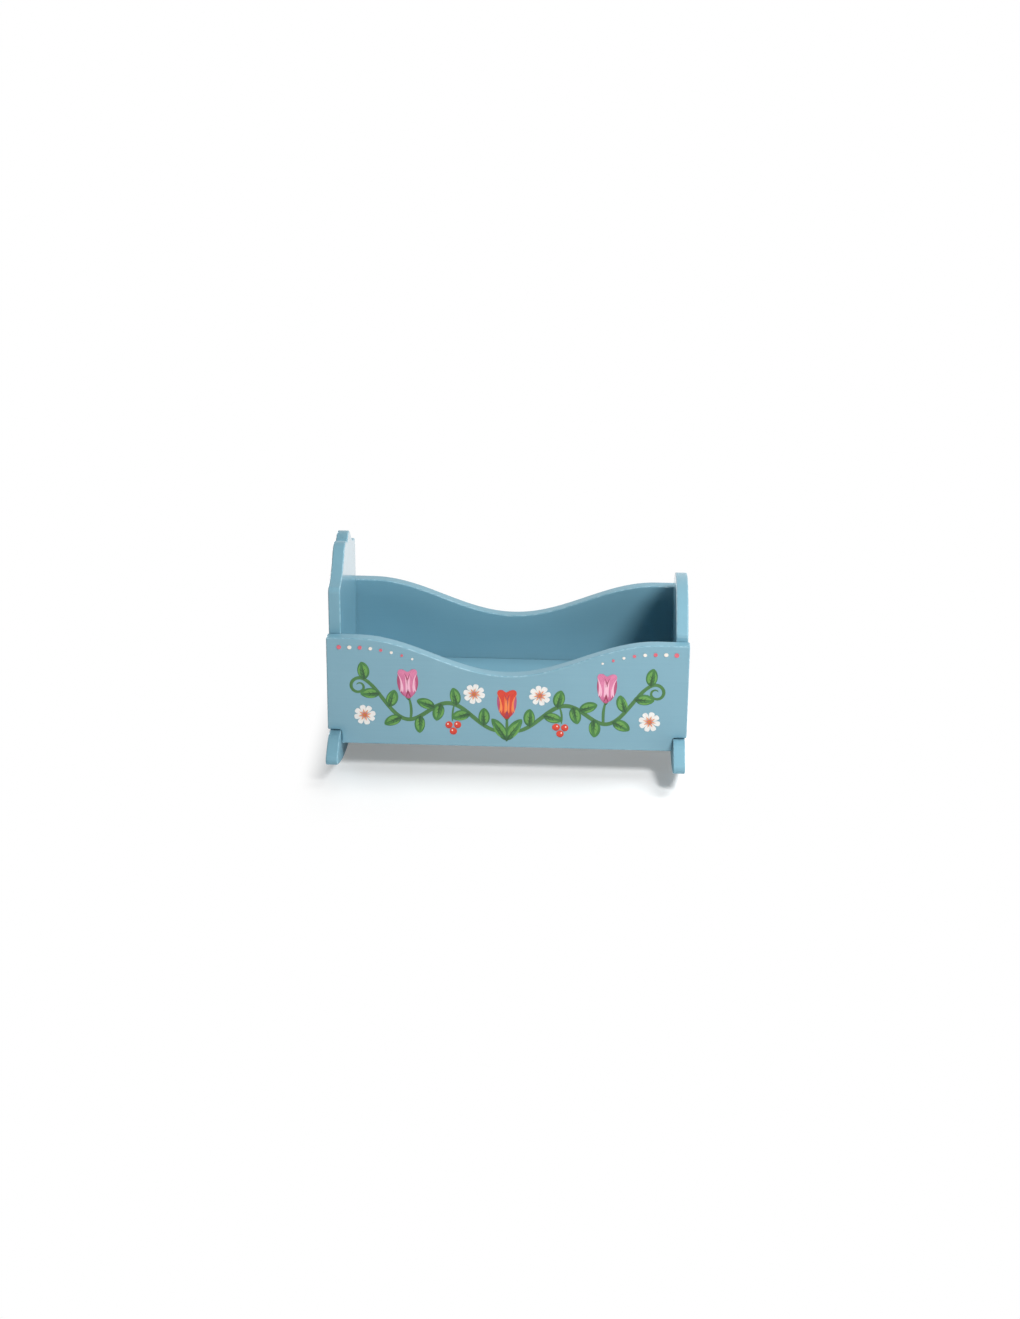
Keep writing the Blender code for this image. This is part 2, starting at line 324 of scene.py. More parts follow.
# %% [markdown]
# ## Drawing a board
# A maker draws half a board on paper, folds the paper and cuts both halves at once. The same
# can be done in edit mode: a plane is merged to a single point, extruded into straight lines
# and spun into arcs until half the outline is there. A mirror modifier gives the other half,
# the line is filled with one face, the face is extruded to the board's thickness, and a
# bevel rounds the arrises. Arcs stay true arcs this way, which loops cut by hand wouldn't.

# %% Helpers for edit mode
def deselect():
    if bpy.context.mode != "OBJECT":
        bpy.ops.object.mode_set(mode="OBJECT")
    bpy.ops.object.select_all(action="DESELECT")


def apply_modifier(piece, kind, **settings):
    """Adds a modifier to the active object and applies it."""
    modifier = piece.modifiers.new(kind.lower(), kind)
    for name, setting in settings.items():
        setattr(modifier, name, setting)
    bpy.ops.object.modifier_apply(modifier=modifier.name)


class Pen:
    """Draws half an outline in the plane square to one axis. Points are (across, up)."""

    def __init__(self, name, axis, level, start):
        deselect()
        self.axis = axis
        self.level = level
        self.point = start
        bpy.ops.mesh.primitive_plane_add(size=edge_round)
        self.piece = bpy.context.object
        self.piece.name = name
        self.piece.data.name = name
        bpy.ops.object.mode_set(mode="EDIT")
        bpy.ops.mesh.merge(type="CENTER")
        bpy.ops.transform.translate(value=self.in_space(start))

    def in_space(self, point):
        if self.axis == X:
            return Vector((self.level, point.x, point.y))
        return Vector((point.x, self.level, point.y))

    def line(self, end):
        step = self.in_space(end) - self.in_space(self.point)
        bpy.ops.mesh.extrude_region_move(TRANSFORM_OT_translate={"value": step})
        self.point = end

    def arc(self, centre, end):
        """Spins the last point round a centre, the short way, until it points at end."""
        arm = self.point - centre
        radius = arm.length
        # Both this angle and the spin tool's count clockwise.
        turn = arm.angle_signed(end - centre)
        smallest = 2 * math.acos(1 - arc_error / radius)
        bpy.ops.mesh.spin(
            steps=max(2, math.ceil(abs(turn) / smallest)),
            angle=turn,
            center=self.in_space(centre),
            axis=(1, 0, 0) if self.axis == X else (0, -1, 0),
        )
        self.point = centre + (end - centre).normalized() * radius


print("pen ready")

# %% From half an outline to a board
arris_angle = math.radians(50)


def finish_board(pen, thickness, paint):
    """Mirrors the half outline, fills it, gives it its thickness and rounds its arrises."""
    board = pen.piece
    bpy.ops.object.mode_set(mode="OBJECT")
    over_y = pen.axis == X
    mirrored = (not over_y, over_y, False)
    apply_modifier(board, "MIRROR", use_axis=mirrored, merge_threshold=merge_distance)
    bpy.ops.object.mode_set(mode="EDIT")
    bpy.ops.mesh.select_all(action="SELECT")
    bpy.ops.mesh.remove_doubles(threshold=merge_distance)
    bpy.ops.mesh.edge_face_add()
    step = [0, 0, 0]
    step[pen.axis] = thickness
    bpy.ops.mesh.extrude_region_move(TRANSFORM_OT_translate={"value": step})
    bpy.ops.mesh.select_all(action="SELECT")
    bpy.ops.mesh.normals_make_consistent(inside=False)
    bpy.ops.object.mode_set(mode="OBJECT")
    round_arrises(board, edge_round)
    board.data.materials.append(paint)
    print(board.name, "has", len(board.data.vertices), "points")
    return board


def round_arrises(board, width):
    apply_modifier(
        board,
        "BEVEL",
        width=width,
        segments=edge_round_steps,
        limit_method="ANGLE",
        angle_limit=arris_angle,
        use_clamp_overlap=False,
    )


print("arrises are rounded by", edge_round, "m")

# %% [markdown]
# ## Drilled holes
# Dowels and screws sit in holes, so the boards that hide the plain solids are drilled as well.
# Every dowel and screw is still there as a solid. A cylinder a hair wider than its box, laid
# along its longest side, is a good drill. All the drills of a board are joined and taken from
# it with one Boolean.

# %% A drill for every dowel and screw
drill_sides = 24
board_smooth_angle = math.radians(35)
flat_face_weight = 100


def longest_axis(size):
    return max(range(3), key=lambda axis: size[axis])


def drill_for(node):
    """A cylinder along the longest side of a node's box, a joint's gap wider all round."""
    low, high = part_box(node)
    size = high - low
    turns = {X: (0, math.pi / 2, 0), Y: (math.pi / 2, 0, 0), Z: (0, 0, 0)}
    bpy.ops.mesh.primitive_cylinder_add(
        vertices=drill_sides,
        radius=min(size) / 2 + joint_gap,
        depth=max(size) + 2 * joint_gap,
        location=(low + high) / 2,
        rotation=turns[longest_axis(size)],
    )
    return bpy.context.object


def cut(piece, cutter):
    """Takes the cutter's shape from a piece, and throws the cutter away."""
    deselect()
    piece.select_set(True)
    bpy.context.view_layer.objects.active = piece
    apply_modifier(piece, "BOOLEAN", operation="DIFFERENCE", solver="EXACT", object=cutter)
    bpy.data.objects.remove(cutter)


def drill(board, *words):
    """Takes a hole from the board for each node whose name holds one of the words."""
    deselect()
    held = [node for node in sorted(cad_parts) if any(word in node for word in words)]
    drills = [drill_for(node) for node in held]
    for cutter in drills:
        cutter.select_set(True)
    bpy.ops.object.join()
    cut(board, bpy.context.object)
    bpy.ops.object.shade_smooth_by_angle(angle=board_smooth_angle)
    apply_modifier(board, "WEIGHTED_NORMAL", keep_sharp=True, weight=flat_face_weight)
    print(board.name, "holds", len(drills), "holes")


print("drills have", drill_sides, "sides")

# %% [markdown]
# ## End boards
# Each end board is one piece of wood from the floor to its crest: the rocker at its foot is
# part of the board, not a piece screwed on. From the middle of the floor the outline runs out
# along the rocker, round its nose and back over the foot, then up the side of the box. The
# lower half is the same on both boards, so one function draws it for either.

# %% Draw a rocker
rocker_radius = 0.420
rocker_flat_half = 0.012
rocker_nose_radius = 0.007
foot_slope_run = 0.029
foot_crown_radius = 0.020
foot_top = 0.055
rocker_reach = head_high.y


def tangent_centre(centre_a, radius_a, centre_b, radius_b, radius):
    """Centre of the hollow arc that touches two circles, on the left of the way from a to b."""
    way = centre_b - centre_a
    reach_a = radius_a + radius
    reach_b = radius_b + radius
    along = (reach_a**2 - reach_b**2 + way.length**2) / (2 * way.length)
    rise = math.sqrt(reach_a**2 - along**2)
    way.normalize()
    return centre_a + way * along + Vector((-way.y, way.x)) * rise


def draw_rocker(name, level):
    """Half a rocker, from its flat middle to the corner where the box begins."""
    runner = Vector((0, math.sqrt(rocker_radius**2 - rocker_flat_half**2)))
    nose_y = rocker_reach - rocker_nose_radius
    nose_drop = math.sqrt((rocker_radius - rocker_nose_radius) ** 2 - nose_y**2)
    nose = Vector((nose_y, runner.y - nose_drop))
    crown = Vector((nose_y - foot_slope_run, foot_top - foot_crown_radius))
    slope = crown - nose
    lean = math.acos((foot_crown_radius - rocker_nose_radius) / slope.length)
    straight = Vector((-slope.x, -slope.y)).normalized()
    straight.rotate(Matrix.Rotation(lean, 2))
    pen = Pen(name, X, level, Vector((0, 0)))
    pen.line(Vector((rocker_flat_half, 0)))
    pen.arc(runner, nose)
    pen.arc(nose, nose + straight)
    pen.line(crown + straight * foot_crown_radius)
    pen.arc(crown, crown + Vector((0, 1)))
    pen.line(Vector((end_half_width, foot_top)))
    return pen


print("rockers reach", round(rocker_reach, 4), "m to each side")

# %% [markdown]
# The headboard's crest rises from a small round shoulder on each side, along a long shallow
# hollow, to two lobes with a cleft between them. Each arc runs into the next without a corner,
# so that a sander can follow it. Circles that touch are easy to place by hand: the hollow's
# centre is as far from both neighbours as their radius plus its own.

# %% Draw the headboard
head_shoulder_rise = 0.060
head_shoulder_radius = 0.008
head_hollow_radius = 0.080
head_lobe_rise = 0.0935
head_lobe_radius = 0.024
head_lobe_place = 0.019
head_cleft_radius = 0.004

shoulder_y = end_half_width - head_shoulder_radius
shoulder = Vector((shoulder_y, side_top + head_shoulder_rise - head_shoulder_radius))
lobe = Vector((head_lobe_place, side_top + head_lobe_rise - head_lobe_radius))
hollow = tangent_centre(lobe, head_lobe_radius, shoulder, head_shoulder_radius, head_hollow_radius)
cleft_rise = math.sqrt((head_lobe_radius + head_cleft_radius) ** 2 - head_lobe_place**2)
cleft = Vector((0, lobe.y + cleft_rise))

pen = draw_rocker("painted_headboard", head_low.x)
pen.line(Vector((end_half_width, shoulder.y)))
pen.arc(shoulder, hollow)
pen.arc(hollow, lobe)
pen.arc(lobe, cleft)
pen.arc(cleft, cleft - Vector((0, head_cleft_radius)))
headboard = finish_board(pen, end_thickness, end_paint)
drill(headboard, "dowel_head", "head_cleat_screw")

# %% [markdown]
# The footboard is lower, with one long arch between two small round corners. The arch's
# radius follows from its width and its rise.

# %% Draw the footboard
foot_side_rise = 0.0075
foot_arch_rise = 0.039
foot_corner_radius = 0.008

arch_radius = (end_half_width**2 + foot_arch_rise**2) / (2 * foot_arch_rise)
arch = Vector((0, side_top + foot_side_rise + foot_arch_rise - arch_radius))
corner_y = end_half_width - foot_corner_radius
corner_rise = math.sqrt((arch_radius - foot_corner_radius) ** 2 - corner_y**2)
corner = Vector((corner_y, arch.y + corner_rise))

pen = draw_rocker("painted_footboard", foot_low.x)
pen.line(Vector((end_half_width, corner.y)))
pen.arc(corner, corner * 2 - arch)
pen.arc(arch, arch + Vector((0, arch_radius)))
footboard = finish_board(pen, end_thickness, end_paint)
drill(footboard, "dowel_foot", "foot_cleat_screw")

# %% [markdown]
# ## Side panels
# A side panel dips in the middle so that a child can reach the doll. The dip is one smooth
# wave, level at both ends, and a cosine has just that shape. Each lower corner is notched to
# let the rocker foot out from under the panel. The two panels are alike, so the back one is
# drawn the same way at its own place.

# %% Draw the side panels
wave_depth = 0.046
wave_half_length = 0.186
wave_steps = 56
notch_height = 0.0185
notch_corner_radius = 0.004
notch_side_gap = 0.0006

notch_x = foot_low.x - notch_side_gap
notch_top = side_bottom + notch_height


def wave_height(x):
    if abs(x) >= wave_half_length:
        return side_top
    return side_top - wave_depth * (1 + math.cos(math.pi * x / wave_half_length)) / 2


def draw_side_panel(name, level):
    corner = Vector((notch_x + notch_corner_radius, notch_top - notch_corner_radius))
    pen = Pen(name, Y, level, Vector((0, side_bottom)))
    pen.line(Vector((notch_x, side_bottom)))
    pen.line(Vector((notch_x, corner.y)))
    pen.arc(corner, corner + Vector((0, 1)))
    pen.line(Vector((half_length, notch_top)))
    pen.line(Vector((half_length, side_top)))
    for step in range(wave_steps + 1):
        x = wave_half_length * (1 - step / wave_steps)
        pen.line(Vector((x, wave_height(x))))
    return finish_board(pen, side_thickness, side_paint)


front_panel = draw_side_panel("painted_front_panel", -side_outer_y)
drill(front_panel, "_front_", "front_cleat_screw")
back_panel = draw_side_panel("painted_back_panel", side_inner_y)
drill(back_panel, "_back_", "back_cleat_screw")

# %% [markdown]
# ## Bottom board
# The bottom is a plain rectangle of thinner board, so a cube at its size and place is the
# whole drawing. Its corners are only eased, because it has to lie flat against four walls.

# %% Make the bottom board
deselect()
bpy.ops.mesh.primitive_cube_add(
    size=1,
    location=(bottom_low + bottom_high) / 2,
    scale=bottom_high - bottom_low,
)
bottom_board = bpy.context.object
bottom_board.name = "painted_bottom_board"
bpy.ops.object.transform_apply(location=True, rotation=True, scale=True)
round_arrises(bottom_board, bottom_edge_round)
bottom_board.data.materials.append(bottom_paint)
drill(bottom_board, "bottom_screw")

# %% Put the boards on the cradle
boards = {
    "headboard": headboard,
    "footboard": footboard,
    "front_side_panel": front_panel,
    "back_side_panel": back_panel,
    "bottom_board": bottom_board,
}
for node, piece in boards.items():
    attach(piece, "root")
    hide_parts(node)
    print(piece.name, "measures", [round(side, 4) for side in piece.dimensions])

# %% [markdown]
# ## Bare pine and beech
# Under the bottom board, where nobody looks, a maker saves paint. Four strips of planed pine
# carry the board, and beech dowels hold the corners. Their solids already have the right
# shape, so they only take a new material. Pine is read by its growth rings: a board is cut
# from a trunk, so each point's ring follows from its distance to the heart of the tree. The
# pale early wood of a year fades into the dark late wood and then stops at a sharp line.

# %% Plane the pine
pine_early = colour(228, 197, 152)
pine_late = colour(184, 134, 82)
pine_ring = 0.0019
pine_heart = (0.031, 0.043, 0.027)
pine_wander = 2.5
pine_wander_scale = (38.0, 5.0)
pine_late_share = (0.35, 0.93)
pine_late_end = 0.95
pine_late_shade = 0.85
pine_late_gloss = 0.12
pine_late_dip = 0.5
pine_fibre_scale = (1500.0, 30.0)
pine_fibre_shade = 0.5
pine_fibre_depth = 0.00004
pine_shade_shift = -0.18
pine_roughness = 0.62


def pine(name, along):
    """Planed pine with its grain along one axis, 0 to 2."""
    recipe = Recipe(name)
    wander = recipe.grain(along, *pine_wander_scale)
    fibres = recipe.grain(along, *pine_fibre_scale, detail=3.0)
    spoke = recipe.stretched(recipe.place(), drawn_out(along, 1.0, 0.0), pine_heart)
    from_heart = recipe.node("ShaderNodeVectorMath", {"operation": "LENGTH"}, {0: spoke}, "Value")
    year = (from_heart * (1 / pine_ring) + wander * pine_wander).maths("FRACT")
    late = year.rise(*pine_late_share) * (1 - year.rise(pine_late_end, 1.0))
    shade = late * pine_late_shade + fibres * pine_fibre_shade + pine_shade_shift
    return recipe.finish(
        Base_Color=recipe.mix(shade, pine_early, pine_late),
        Roughness=pine_roughness - late * pine_late_gloss,
        Normal=recipe.bump(fibres - late * pine_late_dip, pine_fibre_depth),
    )


pine_along_x = pine("pine_along_x", X)
pine_along_y = pine("pine_along_y", Y)
print("pine:", pine_along_x.name, pine_along_y.name)

# %% [markdown]
# Beech hardly shows its rings. What gives it away are short dark flecks along the grain, a
# millimetre or two long, on an even pinkish brown.

# %% Turn the beech and hand out both woods
beech_pale = colour(217, 180, 142)
beech_dark = colour(178, 132, 96)
beech_fleck_scale = (2400.0, 420.0)
beech_fleck_range = (0.56, 0.72)
beech_fleck_shade = 0.7
beech_fleck_depth = 0.00003
beech_cloud_scale = 160.0
beech_cloud_shade = 0.3
beech_cloud_roughness = 0.1
beech_roughness = 0.5


def beech(name, along):
    recipe = Recipe(name)
    flecks = recipe.grain(along, *beech_fleck_scale).rise(*beech_fleck_range)
    cloud = recipe.noise(recipe.place(), beech_cloud_scale)
    shade = flecks * beech_fleck_shade + cloud * beech_cloud_shade
    return recipe.finish(
        Base_Color=recipe.mix(shade, beech_pale, beech_dark),
        Roughness=beech_roughness + cloud * beech_cloud_roughness,
        Normal=recipe.bump(1 - flecks, beech_fleck_depth),
    )


wood_of = {
    "front_cleat": pine_along_x,
    "back_cleat": pine_along_x,
    "head_cleat": pine_along_y,
    "foot_cleat": pine_along_y,
    "dowel": beech("beech_along_y", Y),
}
for name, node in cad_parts.items():
    for start, wood in wood_of.items():
        if name.startswith(start) and "screw" not in name:
            for slot in node.material_slots:
                slot.material = wood
            print(name, "is", wood.name)

# %% [markdown]
# ## Wood screws
# A countersunk screw is a disc that is extruded down to its point: a thin rim, the cone of the
# head, the shank and the tip. The recess for the driver is cut with two crossed wedges. The
# thread is a helix of wire that is sunk into the shank, with its crest where the plain solid
# has its surface, so the dressed screw fits the same hole.

# %% Model one screw
screw_low, screw_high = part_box("front_bottom_screw_1")
screw_length = screw_high.z - screw_low.z
screw_head_radius = (screw_high.x - screw_low.x) / 2
screw_sides = 24
screw_rim = 0.0003
screw_head_depth = 0.002
screw_crest_radius = 0.00165
screw_core_radius = 0.00125
screw_point = 0.003
screw_tip_radius = 0.0002


def extrude_down(depth, radius_share):
    bpy.ops.mesh.extrude_region_move(TRANSFORM_OT_translate={"value": (0, 0, -depth)})
    bpy.ops.transform.resize(value=(radius_share, radius_share, 1))


deselect()
bpy.ops.mesh.primitive_circle_add(vertices=screw_sides, radius=screw_head_radius, fill_type="NGON")
screw = bpy.context.object
bpy.ops.object.mode_set(mode="EDIT")
extrude_down(screw_rim, 1)
extrude_down(screw_head_depth - screw_rim, screw_core_radius / screw_head_radius)
extrude_down(screw_length - screw_head_depth - screw_point, 1)
extrude_down(screw_point, screw_tip_radius / screw_core_radius)
bpy.ops.mesh.select_all(action="SELECT")
bpy.ops.mesh.normals_make_consistent(inside=False)
print("screw blank:", round(screw_length, 4), "m long")

# %% Cut the recess for the driver
recess_length = 0.0040
recess_width = 0.0009
recess_depth = 0.0013
recess_floor_share = 0.4

for turn in (0, math.pi / 2):
    deselect()
    bpy.ops.mesh.primitive_cube_add(size=1, scale=(recess_length, recess_width, 2 * recess_depth))
    wedge = bpy.context.object
    bpy.ops.object.transform_apply(location=False, rotation=False, scale=True)
    bpy.ops.object.mode_set(mode="EDIT")
    bpy.ops.mesh.select_all(action="DESELECT")
    bpy.ops.object.mode_set(mode="OBJECT")
    for corner_point in wedge.data.vertices:
        corner_point.select = corner_point.co.z < 0
    bpy.ops.object.mode_set(mode="EDIT")
    floor_share = (recess_floor_share, recess_floor_share, 1)
    bpy.ops.transform.resize(value=floor_share, center_override=(0, 0, 0))
    bpy.ops.object.mode_set(mode="OBJECT")
    wedge.rotation_euler.z = turn
    cut(screw, wedge)
print("screw:", len(screw.data.polygons), "faces before its thread")

# %% Cut its thread
thread_pitch = 0.0013
thread_wire = 0.00042
thread_start = 0.0035
thread_points = 16
screw_smooth_angle = math.radians(30)

deselect()
bpy.ops.curve.primitive_bezier_curve_add()
thread = bpy.context.object
thread.data.splines.clear()
thread.data.bevel_depth = thread_wire
thread.data.bevel_resolution = 0
thread.data.use_fill_caps = True
helix = thread.data.splines.new("POLY")
threaded = screw_length - thread_start - screw_point
helix_points = math.ceil(threaded / thread_pitch * thread_points)
helix.points.add(helix_points - 1)
helix_radius = screw_crest_radius - thread_wire
for i, point in enumerate(helix.points):
    angle = 2 * math.pi * i / thread_points
    drop = thread_start + threaded * i / helix_points
    point.co = (helix_radius * math.cos(angle), helix_radius * math.sin(angle), -drop, 1)
bpy.ops.object.convert(target="MESH")
screw.select_set(True)
bpy.context.view_layer.objects.active = screw
bpy.ops.object.join()
bpy.ops.object.shade_smooth_by_angle(angle=screw_smooth_angle)
print("thread:", helix_points, "points")

# %% [markdown]
# Zinc plate is bright but never even: it clouds over in patches, from bluish to faintly
# yellow, and rubbing against other screws in the box leaves it finely scratched.

# %% Plate the screw and drive its copies in
zinc_blue = colour(198, 202, 204)
zinc_yellow = colour(212, 206, 188)
zinc_cloud_scale = 420.0
zinc_cloud_range = (0.3, 0.7)
zinc_cloud_roughness = 0.25
zinc_scratch_scale = 5200.0
zinc_scratch_depth = 0.000004
zinc_roughness = 0.2

recipe = Recipe("zinc_plate")
cloud = recipe.noise(recipe.place(), zinc_cloud_scale, detail=3.0)
scratches = recipe.noise(recipe.place(), zinc_scratch_scale)
zinc_plate = recipe.finish(
    Base_Color=recipe.mix(cloud.rise(*zinc_cloud_range), zinc_blue, zinc_yellow),
    Metallic=1.0,
    Roughness=zinc_roughness + cloud * zinc_cloud_roughness,
    Normal=recipe.bump(scratches, zinc_scratch_depth),
)
screw.data.materials.append(zinc_plate)


def screw_place(node):
    """Where a screw's head lies and which way it looks out: down, or to the middle of the box."""
    low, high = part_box(node)
    longest = longest_axis(high - low)
    head = (low + high) / 2
    outward = Vector((0, 0, 0))
    outward[longest] = -1 if longest == Z or head[longest] > 0 else 1
    head[longest] = low[longest] if outward[longest] < 0 else high[longest]
    return Matrix.Translation(head) @ outward.to_track_quat("Z", "Y").to_matrix().to_4x4()


screw_nodes = sorted(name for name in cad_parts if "screw" in name)
for node in screw_nodes:
    driven = screw.copy()
    driven.data = screw.data.copy()
    driven.name = "zinc_" + node
    driven.data.transform(screw_place(node))
    bpy.context.scene.collection.objects.link(driven)
    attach(driven, "root")
    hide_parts(node)
bpy.data.objects.remove(screw)
print("screws driven in:", len(screw_nodes))

# %% [markdown]
# ## Painted flowers
# The front panel carries a garland of the kind that folk painters lay on furniture with a
# round brush: every leaf and petal is one press of the brush, blunt where the bristles land
# and thin where they lift. Craft paint is thick, so a stroke is a low solid with a slight rim
# where the paint was pushed aside. A flat curve whose radius follows the pressure of the
# brush, with the brush's mark as its bevel, gives just that solid, and its own map tells the
# paint which way the bristles ran.

# %% A brush stroke
hand = random.Random(5)
stroke_steps = 14
lightest_press = 0.05
width_jitter = 0.06
bend_jitter = 0.025
petal_jitter = 3.0

mark_top = ((-1.0, 0.0), (-0.94, 0.03), (-0.8, 0.034), (-0.45, 0.026), (0.0, 0.028))
mark_under = ((0.9, -0.1), (0.0, -0.1), (-0.9, -0.1))


def press(share, swell, tail):
    """How hard the brush presses at a share of the stroke. Low powers are blunt, high ones thin."""
    widest = swell / (swell + tail)
    return (share / widest) ** swell * ((1 - share) / (1 - widest)) ** tail


print("a stroke is pressed in", stroke_steps, "steps")

# %% Places for motifs
class Spot:
    """A place and a direction on the panel for one motif. Side -1 mirrors it to the left half."""

    def __init__(self, side, x, z, angle=0.0):
        self.side = side
        self.origin = Vector((x, z))
        self.turn = Matrix.Rotation(math.radians(angle), 2)

    def at(self, point):
        place = self.origin + self.turn @ point
        return (place.x * self.side, place.y)

    def trace(self, pot, steps, width, swell, tail):
        """A stroke from (share, point) steps. Swell and tail shape its start and its end."""
        line = []
        for share, point in steps:
            pressed = max(press(share, swell, tail), lightest_press)
            line.append((*self.at(point), width / 2 * pressed))
        pot.append(line)

    def follow(self, pot, points, width, swell, tail):
        """A stroke through points that lie evenly along it."""
        last = len(points) - 1
        self.trace(pot, [(i / last, point) for i, point in enumerate(points)], width, swell, tail)

    def stroke(self, pot, start, end, width, bend=0.0, swell=0.5, tail=0.5):
        """A stroke from start to end, bowed to its left by a share of its length."""
        start = Vector(start)
        way = Vector(end) - start
        # Times 4, because share * (1 - share) is a quarter in the middle of the stroke.
        bow = Vector((-way.y, way.x)) * 4 * (bend + hand.uniform(-bend_jitter, bend_jitter))
        width *= 1 + hand.uniform(-width_jitter, width_jitter)
        steps = []
        for i in range(stroke_steps + 1):
            share = (1 - math.cos(math.pi * i / stroke_steps)) / 2
            steps.append((share, start + way * share + bow * share * (1 - share)))
        self.trace(pot, steps, width, swell, tail)

    def turned(self, angle):
        """The same place, turned on by some degrees."""
        spot = Spot(self.side, *self.origin)
        spot.turn = self.turn @ Matrix.Rotation(math.radians(angle), 2)
        return spot


pots = defaultdict(list)
print("a pot of paint is opened when a stroke first needs it")

# %% [markdown]
# A motif is a table of strokes for one size and one direction, so that it can be drawn at any
# size, turned and mirrored. A leaf is a dark press with lighter ones on its sunny side and
# thin veins. A daisy is a ring of pale petals, and a tulip has two petals behind and three in
# front. Each row holds the pot, where the stroke starts and ends, its width, its bend, and
# how bluntly it starts and ends. Places and widths are shares of the motif's size.

# %% Leaf, daisy and berries
vein_reach = 0.16
leaf_shares = [
    ("leaf_green", (0.0, 0.0), (1.0, 0.0), 0.60, 0.04, 0.55, 0.62),
    ("leaf_light", (0.16, 0.13), (0.84, 0.06), 0.20, 0.08, 0.7, 0.9),
    ("leaf_light", (0.20, -0.15), (0.80, -0.09), 0.11, -0.10, 0.7, 0.9),
    ("leaf_dark", (-0.04, 0.0), (0.74, -0.01), 0.08, 0.04, 0.4, 1.2),
]
for vein_root in (0.24, 0.44):
    for way in (-1, 1):
        vein_tip = (vein_root + vein_reach, way * vein_reach)
        leaf_shares.append(("leaf_dark", (vein_root, 0.0), vein_tip, 0.036, 0.0, 0.3, 1.0))

daisy_petals = 8
petal_shares = (
    ("daisy_white", (0.16, 0.0), (1.0, 0.0), 0.52, 0.0, 0.9, 0.35),
    ("daisy_peach", (0.20, 0.0), (0.62, 0.0), 0.15, 0.0, 0.4, 1.1),
)
seed_shares = (("dot_coral", (0.15, 0.0), (0.25, 0.0), 0.1),)
eye_shares = (("daisy_ochre", (-0.22, 0.0), (0.22, 0.0), 0.44),)

berry_places = ((0.0, -1.1), (0.1, 1.15), (-1.75, 0.05))
glint_reach = (0.1, 0.5)
glint_aside = 0.3
glint_width = 0.4
berry_shares = []
for along, across in berry_places:
    berry_shares.append(("petal_red", (along - 1, across), (along + 1, across), 2.0))
    glint_ends = [(along + reach, across - glint_aside) for reach in glint_reach]
    berry_shares.append(("dot_cream", *glint_ends, glint_width))


def lay(spot, size, shares, slender=1.0):
    """Lays the strokes of one motif. Slender under 1 draws it narrower."""
    shape = Vector((size, size * slender))
    for pot, start, end, width, *touch in shares:
        spot.stroke(pots[pot], shape * Vector(start), shape * Vector(end), shape.y * width, *touch)


def daisy(spot, radius):
    for number in range(daisy_petals):
        jitter = hand.uniform(-petal_jitter, petal_jitter)
        lay(spot.turned(360 * number / daisy_petals + jitter), radius, petal_shares)
        lay(spot.turned(360 * number / daisy_petals), radius, seed_shares)
    lay(spot, radius, eye_shares)


print("motifs:", len(leaf_shares), "strokes a leaf,", 3 * daisy_petals + 1, "a daisy")

# %% Tulip
def tulip_shares(front, back, light):
    """A tulip that opens along its spot's direction, with its foot at the origin."""
    rows = []
    for way in (-1, 1):
        rows += [
            (back, (0.06, way * 0.06), (0.96, way * 0.15), 0.34, way * 0.02, 0.55, 0.55),
            (front, (0.0, way * 0.02), (0.93, way * 0.27), 0.36, way * -0.18, 0.5, 0.42),
            (light, (0.22, way * 0.23), (0.84, way * 0.31), 0.06, way * -0.12, 0.5, 1.2),
            (light, (0.20, way * 0.17), (0.66, way * 0.22), 0.04, way * -0.08, 0.5, 1.2),
            ("petal_crease", (0.05, way * 0.07), (0.86, way * 0.10), 0.04, way * -0.13, 0.4, 0.9),
        ]
    rows.append((front, (0.0, 0.0), (0.88, 0.0), 0.46, 0.0, 0.55, 0.5))
    for way in (-1, 0, 1):
        rows.append((light, (0.20, way * 0.06), (0.76, way * 0.08), 0.055, way * -0.05, 0.5, 1.1))
    for way in (-1, 1):
        rows.append(("leaf_green", (-0.06, 0.0), (0.24, way * 0.18), 0.11, way * -0.1, 0.5, 0.5))
    return rows


pink_tulip = tulip_shares("petal_pink", "petal_rose", "petal_blush")
red_tulip = tulip_shares("petal_red", "petal_rose", "petal_orange")
print("motifs:", len(pink_tulip), "strokes a tulip")

# %% [markdown]
# The garland is one long vine on each half. It swings up and down three times as it climbs
# towards the end of the panel, and closes in a curl. An upright tulip fills the middle, and
# the gaps above and below the swings hold daisies, a second tulip and berries. Dots that grow
# towards the ends follow the wave of the panel's edge. Places are X and Z on the panel, with an
# angle in degrees where there is a third number.

# %% The vine
vine_start = Vector((0.010, 0.070))
vine_end = Vector((0.182, 0.104))
vine_swing = (0.010, 0.024)
vine_swings = 3
vine_steps = 60
curl_radius = 0.0115
curl_turns = 1.2
curl_steps = 36
curl_closing_share = 0.72


def vine_point(share):
    swing = vine_swing[0] + (vine_swing[1] - vine_swing[0]) * share
    point = vine_start.lerp(vine_end, share)
    return point - Vector((0, swing * math.cos(vine_swings * math.pi * share)))


def vine_angle(share):
    half_step = 0.5 / vine_steps
    step = vine_point(share + half_step) - vine_point(share - half_step)
    return math.degrees(math.atan2(step.y, step.x))


def vine_with_curl():
    """The vine's line, then a spiral that turns on from its tip to the right."""
    points = [vine_point(i / vine_steps) for i in range(vine_steps + 1)]
    tip_angle = math.radians(vine_angle(1.0))
    centre = points[-1] + Vector((math.sin(tip_angle), -math.cos(tip_angle))) * curl_radius
    for i in range(1, curl_steps + 1):
        share = i / curl_steps
        turned = tip_angle + math.pi / 2 - curl_turns * 2 * math.pi * share
        radius = curl_radius * (1 - curl_closing_share * share)
        points.append(centre + Vector((math.cos(turned), math.sin(turned))) * radius)
    return points


print("vine:", len(vine_with_curl()), "points on each half")

